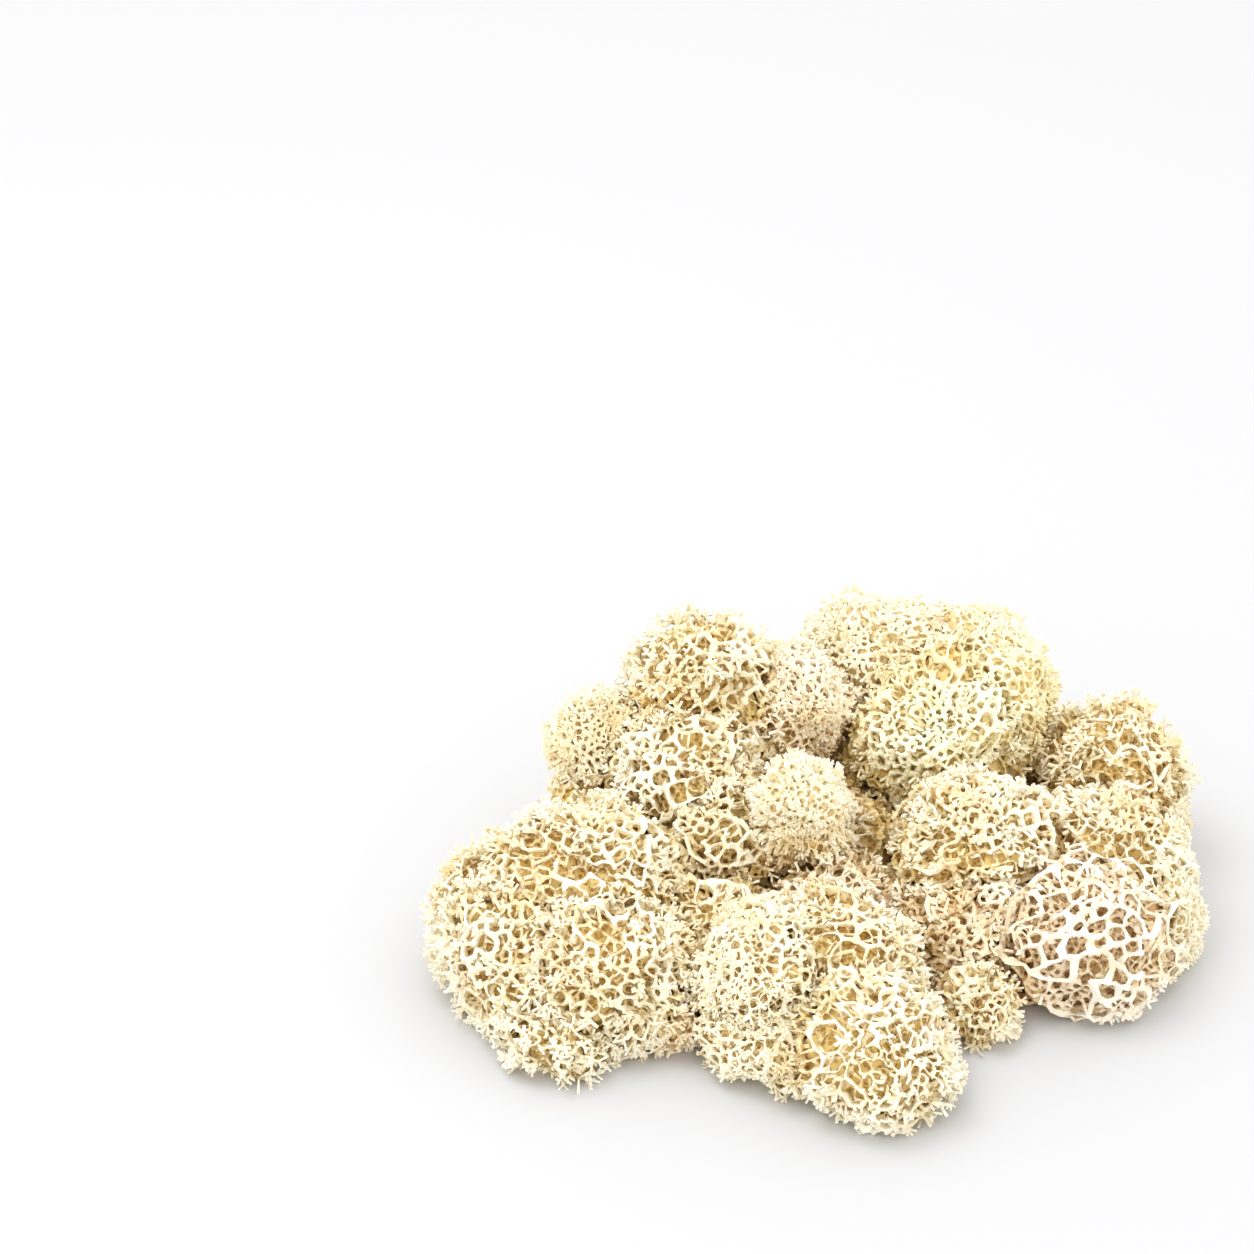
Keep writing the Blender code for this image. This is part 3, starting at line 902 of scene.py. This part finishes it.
def add_head(head, materials):
    """Makes the finished head, which replaces the plain one."""
    shape = Shape(head)
    lace = Lace(shape)
    weave = head.weave
    outer, middles = add_net(lace, weave.hole, weave.branch, weave.depth, weave.uneven,
                             weave.missing, weave.fin, weave.dropped)
    add_tips(lace, outer, weave)
    add_spurs(lace, middles, weave)
    lace_depth = weave.depth
    if weave.lace:
        lace_depth += weave.gap
        finer, _ = add_net(lace, weave.lace * weave.hole, FINE_BRANCH * weave.branch, lace_depth,
                           weave.uneven, FINE_MISSING, FINE_FIN, fine=True, shut_in=FINE_SHUT_IN)
        add_stems(lace, finer, outer)
    add_core(lace, min(lace_depth + weave.ground, DEEPEST_CORE * shape.size))
    data = lace.mesh(f"lichen_{head.name}")
    data.materials.append(materials[head.tint])
    piece = bpy.data.objects.new(f"lichen_{head.name}", data)
    bpy.context.scene.collection.objects.link(piece)
    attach(piece, "root")
    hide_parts(f"head_{head.name}")


# Materials

# Colours at the tips, a little down the branches, on the finer net and on the core; the darker, warmer
# deep colours are partly the lichen's own and partly painted shade
TINT_DEPTHS = (0.0, 3.2, 7.0, 12.5)
TINTS = {
    "ivory": [(0.95, 0.92, 0.81), (0.945, 0.91, 0.765), (0.92, 0.83, 0.56), (0.84, 0.66, 0.28)],
    "cream": [(0.95, 0.915, 0.795), (0.945, 0.905, 0.75), (0.93, 0.84, 0.57), (0.85, 0.67, 0.29)],
    "straw": [(0.95, 0.93, 0.77), (0.945, 0.92, 0.73), (0.94, 0.87, 0.58), (0.88, 0.72, 0.32)],
    "rose": [(0.955, 0.925, 0.84), (0.94, 0.88, 0.755), (0.90, 0.78, 0.57), (0.78, 0.58, 0.32)],
    "blush": [(0.95, 0.905, 0.79), (0.94, 0.88, 0.73), (0.91, 0.79, 0.56), (0.81, 0.62, 0.30)],
}
# Mottling, which shifts a place's depth on the tints' scale, and warmer patches
MOTTLES_PER_METRE = 260.0
MOTTLE_DETAIL = 3.0
MOTTLE_DEPTH = 5.0
PATCHES_PER_METRE = 45.0
PATCH_EDGE = (0.48, 0.72)
PATCH_COLOUR = (0.97, 0.90, 0.74, 1.0)
# Small pores in what lies deep, pitted by the bump and darkened as painted shade
PORES_PER_METRE = 500.0
PORE_EDGE = (0.26, 0.50)
PORE_DEPTHS = (4.0, 6.0)
PORE_PIT = -7.0               # a pore's height on the scale of the grain
PORE_SHADE_COLOUR = (0.64, 0.51, 0.34, 1.0)
# The grain of the surface
GRAINS_PER_METRE = 1400.0
GRAIN_HEIGHT = 0.0002         # metres
GRAIN_STRENGTH = 0.5
LICHEN_ROUGHNESS = 0.85
LICHEN_GLOSS = 0.2


def add_node(tree, kind, inputs, **options):
    """A shader node with its options set, and its inputs set or linked to other nodes' outputs."""
    node = tree.nodes.new(f"ShaderNode{kind}")
    for name, value in options.items():
        setattr(node, name, value)
    for name, value in inputs.items():
        if isinstance(value, bpy.types.NodeSocket):
            tree.links.new(value, node.inputs[name])
        else:
            node.inputs[name].default_value = value
    return node


def add_noise(tree, place, per_metre, detail=2.0):
    texture = add_node(tree, "TexNoise", {"Vector": place, "Scale": per_metre, "Detail": detail})
    return texture.outputs["Fac"]


def add_range(tree, value, low, high):
    """Turns a value into a share, 0 at low and 1 at high."""
    return add_node(tree, "MapRange",
                    {"Value": value, "From Min": low, "From Max": high}).outputs["Result"]


def add_mix(tree, share, first, second, blend):
    """Blends the second colour over the first."""
    return add_node(tree, "Mix", {"Factor": share, "A": first, "B": second},
                    data_type="RGBA", blend_type=blend).outputs["Result"]


def tint_by_depth_and_shade(tree, depth, mottle, tint):
    """The lichen's colour, from the tips' to the core's, at a depth strayed by the mottling; the depth
    carries painted shade, and the deep colours are partly painted shade.
    """
    strayed = add_node(tree, "Math", {0: mottle, 1: MOTTLE_DEPTH, 2: depth}, operation="MULTIPLY_ADD")
    top = MOTTLE_DEPTH / 2
    level = add_range(tree, strayed.outputs["Value"], top, top + TINT_DEPTHS[-1])
    ramp = add_node(tree, "ValToRGB", {"Fac": level})
    stops = ramp.color_ramp.elements
    while len(stops) < len(TINT_DEPTHS):
        stops.new(0.5)
    for stop, at, colour in zip(stops, TINT_DEPTHS, TINTS[tint]):
        stop.position = at / TINT_DEPTHS[-1]
        stop.color = (*colour, 1.0)
    return ramp.outputs["Color"]


def lichen_material(tint):
    """Matt lichen: paler at the tips, tan below partly as its own colour and partly as painted shade,
    mottled, with pores darkened as painted shade and a dull grain.
    """
    material = bpy.data.materials.new(f"{tint}_lichen")
    material.use_nodes = True
    tree = material.node_tree
    depth = add_node(tree, "Attribute", {}, attribute_name="depth").outputs["Fac"]
    place = add_node(tree, "TexCoord", {}).outputs["Object"]

    mottle = add_noise(tree, place, MOTTLES_PER_METRE, MOTTLE_DETAIL)
    colour = tint_by_depth_and_shade(tree, depth, mottle, tint)
    patches = add_range(tree, add_noise(tree, place, PATCHES_PER_METRE), *PATCH_EDGE)
    warm = add_mix(tree, patches, colour, PATCH_COLOUR, "MULTIPLY")

    # Painted shade: pores darken where the depth, which carries painted shade, is great
    cells = add_node(tree, "TexVoronoi", {"Vector": place, "Scale": PORES_PER_METRE})
    near = add_range(tree, cells.outputs["Distance"], *PORE_EDGE[::-1])
    deep_and_shaded = add_range(tree, depth, *PORE_DEPTHS)
    pores = add_node(tree, "Math", {0: near, 1: deep_and_shaded}, operation="MULTIPLY").outputs["Value"]

    grain = add_noise(tree, place, GRAINS_PER_METRE)
    height = add_node(tree, "Math", {0: pores, 1: PORE_PIT, 2: grain}, operation="MULTIPLY_ADD")
    bump = add_node(tree, "Bump", {"Strength": GRAIN_STRENGTH, "Distance": GRAIN_HEIGHT,
                                   "Height": height.outputs["Value"]})
    shader = tree.nodes["Principled BSDF"]
    pore_shaded = add_mix(tree, pores, warm, PORE_SHADE_COLOUR, "MULTIPLY")
    tree.links.new(pore_shaded, shader.inputs["Base Color"])
    tree.links.new(bump.outputs["Normal"], shader.inputs["Normal"])
    shader.inputs["Roughness"].default_value = LICHEN_ROUGHNESS
    shader.inputs["Specular IOR Level"].default_value = LICHEN_GLOSS
    return material


# Studio

def aim(thing, way):
    thing.rotation_euler = Vector(way).to_track_quat("-Z", "Y").to_euler()


def add_camera():
    data = bpy.data.cameras.new("camera")
    data.lens = CAMERA_LENS
    data.sensor_width = SENSOR
    data.sensor_fit = "HORIZONTAL"
    camera = bpy.data.objects.new("camera", data)
    camera.location = CAMERA_PLACE
    dip = math.radians(CAMERA_DIP)
    aim(camera, (0, math.cos(dip), -math.sin(dip)))
    bpy.context.scene.collection.objects.link(camera)
    bpy.context.scene.camera = camera


def add_floor():
    half = FLOOR_SIZE / 2
    data = bpy.data.meshes.new("floor")
    data.from_pydata([(-half, -half, 0), (half, -half, 0), (half, half, 0), (-half, half, 0)],
                     [], [(0, 1, 2, 3)])
    material = bpy.data.materials.new("floor")
    material.use_nodes = True
    shader = material.node_tree.nodes["Principled BSDF"]
    shader.inputs["Base Color"].default_value = FLOOR_COLOUR
    shader.inputs["Roughness"].default_value = FLOOR_ROUGHNESS
    data.materials.append(material)
    floor = bpy.data.objects.new("floor", data)
    bpy.context.scene.collection.objects.link(floor)


def add_key_light():
    data = bpy.data.lights.new("key", "AREA")
    data.shape = "DISK"
    data.size = KEY_SIZE
    data.energy = KEY_POWER
    light = bpy.data.objects.new("key", data)
    light.location = KEY_PLACE
    aim(light, Vector(LIGHTS_AIM) - Vector(KEY_PLACE))
    bpy.context.scene.collection.objects.link(light)


def add_sky():
    world = bpy.data.worlds.new("studio")
    world.use_nodes = True
    tree = world.node_tree
    place = add_node(tree, "TexCoord", {}).outputs["Generated"]
    height = add_node(tree, "SeparateXYZ", {"Vector": place}).outputs["Z"]
    sky = tree.nodes["Background"]
    sky.inputs["Strength"].default_value = SKY_STRENGTH
    tree.links.new(add_mix(tree, height, WALL_COLOUR, CEILING_COLOUR, "MIX"), sky.inputs["Color"])
    bpy.context.scene.world = world


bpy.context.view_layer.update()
add_camera()
add_floor()
add_key_light()
add_sky()
bpy.context.scene.view_settings.view_transform = "Standard"
bpy.context.scene.cycles.diffuse_bounces = LIGHT_BOUNCES
lichen = {tint: lichen_material(tint) for tint in TINTS}
for head in HEADS:
    add_head(head, lichen)
